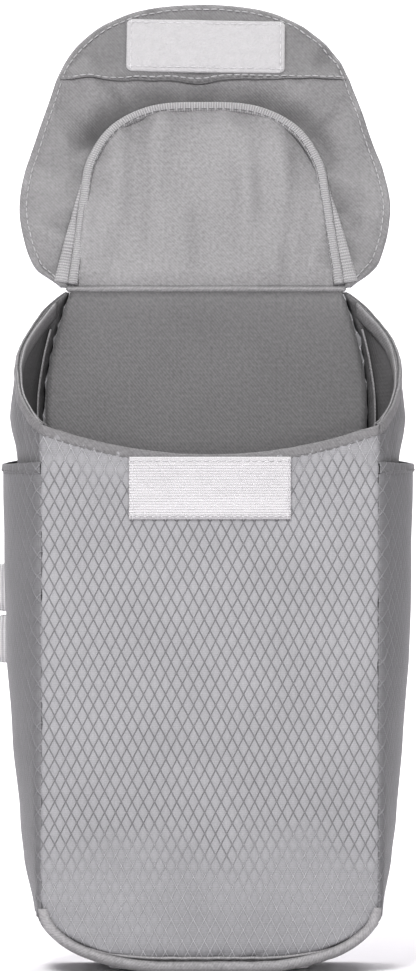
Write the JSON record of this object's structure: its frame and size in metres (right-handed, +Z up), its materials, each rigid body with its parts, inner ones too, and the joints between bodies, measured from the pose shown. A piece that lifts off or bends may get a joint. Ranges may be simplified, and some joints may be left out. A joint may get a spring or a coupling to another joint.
{
  "type": "nappy pouch",
  "caption": "Soft upright nappy pouch of ripstop cloth with bulging gussets, side pockets and a hinged flap lid that closes on hook-and-loop tape.",
  "frame": {"origin": "middle of the flat base, on the surface that the pouch stands on", "axes": "+Z up, -Y towards the front panel with the hook strip, +X to the right seen from the front"},
  "size_m": [0.1681, 0.1445, 0.39],
  "materials": {
    "ripstop": "grey diamond ripstop cloth, slight sheen",
    "lining": "grey plain-weave lining, soft sheen",
    "grosgrain": "light grey ribbed grosgrain tape",
    "webbing": "light grey woven webbing",
    "hook_tape": "white hook tape in rows",
    "loop_tape": "white brushed loop tape",
    "foam": "thin white padding, hidden",
    "board": "plain plastic sheet, hidden"
  },
  "bodies": {
    "root": {"front_panel": "ripstop", "front_foam": "foam", "front_lining": "lining", "rear_panel": "ripstop", "rear_foam": "foam", "rear_lining": "lining", "left_gusset": "ripstop", "right_gusset": "ripstop", "left_gusset_lining": "lining", "right_gusset_lining": "lining", "base_panel": "ripstop", "base_stiffener": "board", "base_lining": "lining", "front_rim_facing": "lining", "left_rim_facing": "lining", "right_rim_facing": "lining", "front_seam_binding": "grosgrain", "rear_seam_binding": "grosgrain", "left_side_pocket": "ripstop", "right_side_pocket": "ripstop", "left_pocket_hem": "ripstop", "right_pocket_hem": "ripstop", "hook_strip": "hook_tape", "hinge_seam_roll": "lining"},
    "lid": {"lid_panel": "ripstop", "lid_foam": "foam", "lid_lining": "lining", "arch_binding": "grosgrain", "left_hinge_tape": "grosgrain", "right_hinge_tape": "grosgrain", "skirt_cloth": "ripstop", "skirt_lining": "lining"},
    "flap": {"flap_cloth": "ripstop", "flap_lining": "lining", "tip_facing": "lining", "loop_strip": "loop_tape"},
    "lower_tab": {"lower_webbing_loop": "webbing"},
    "upper_tab": {"upper_webbing_loop": "webbing"}
  },
  "joints": [
    {"name": "lid_hinge", "type": "hinge", "parent": "root", "child": "lid", "pos_m": [0, 0.03455, 0.2732], "axis": [1, 0, 0], "range_deg": [-80, 156]},
    {"name": "flap_fold", "type": "hinge", "parent": "lid", "child": "flap", "pos_m": [0, 0.08224, 0.34952], "axis": [1, 0, 0], "range_deg": [-40, 55]},
    {"name": "lower_loop_swing", "type": "hinge", "parent": "root", "child": "lower_tab", "pos_m": [-0.0701, 0.0362, 0.131], "axis": [0, 0, 1], "range_deg": [-120, 60]},
    {"name": "upper_loop_swing", "type": "hinge", "parent": "root", "child": "upper_tab", "pos_m": [-0.0701, 0.0362, 0.152], "axis": [0, 0, 1], "range_deg": [-120, 60]}
  ]
}
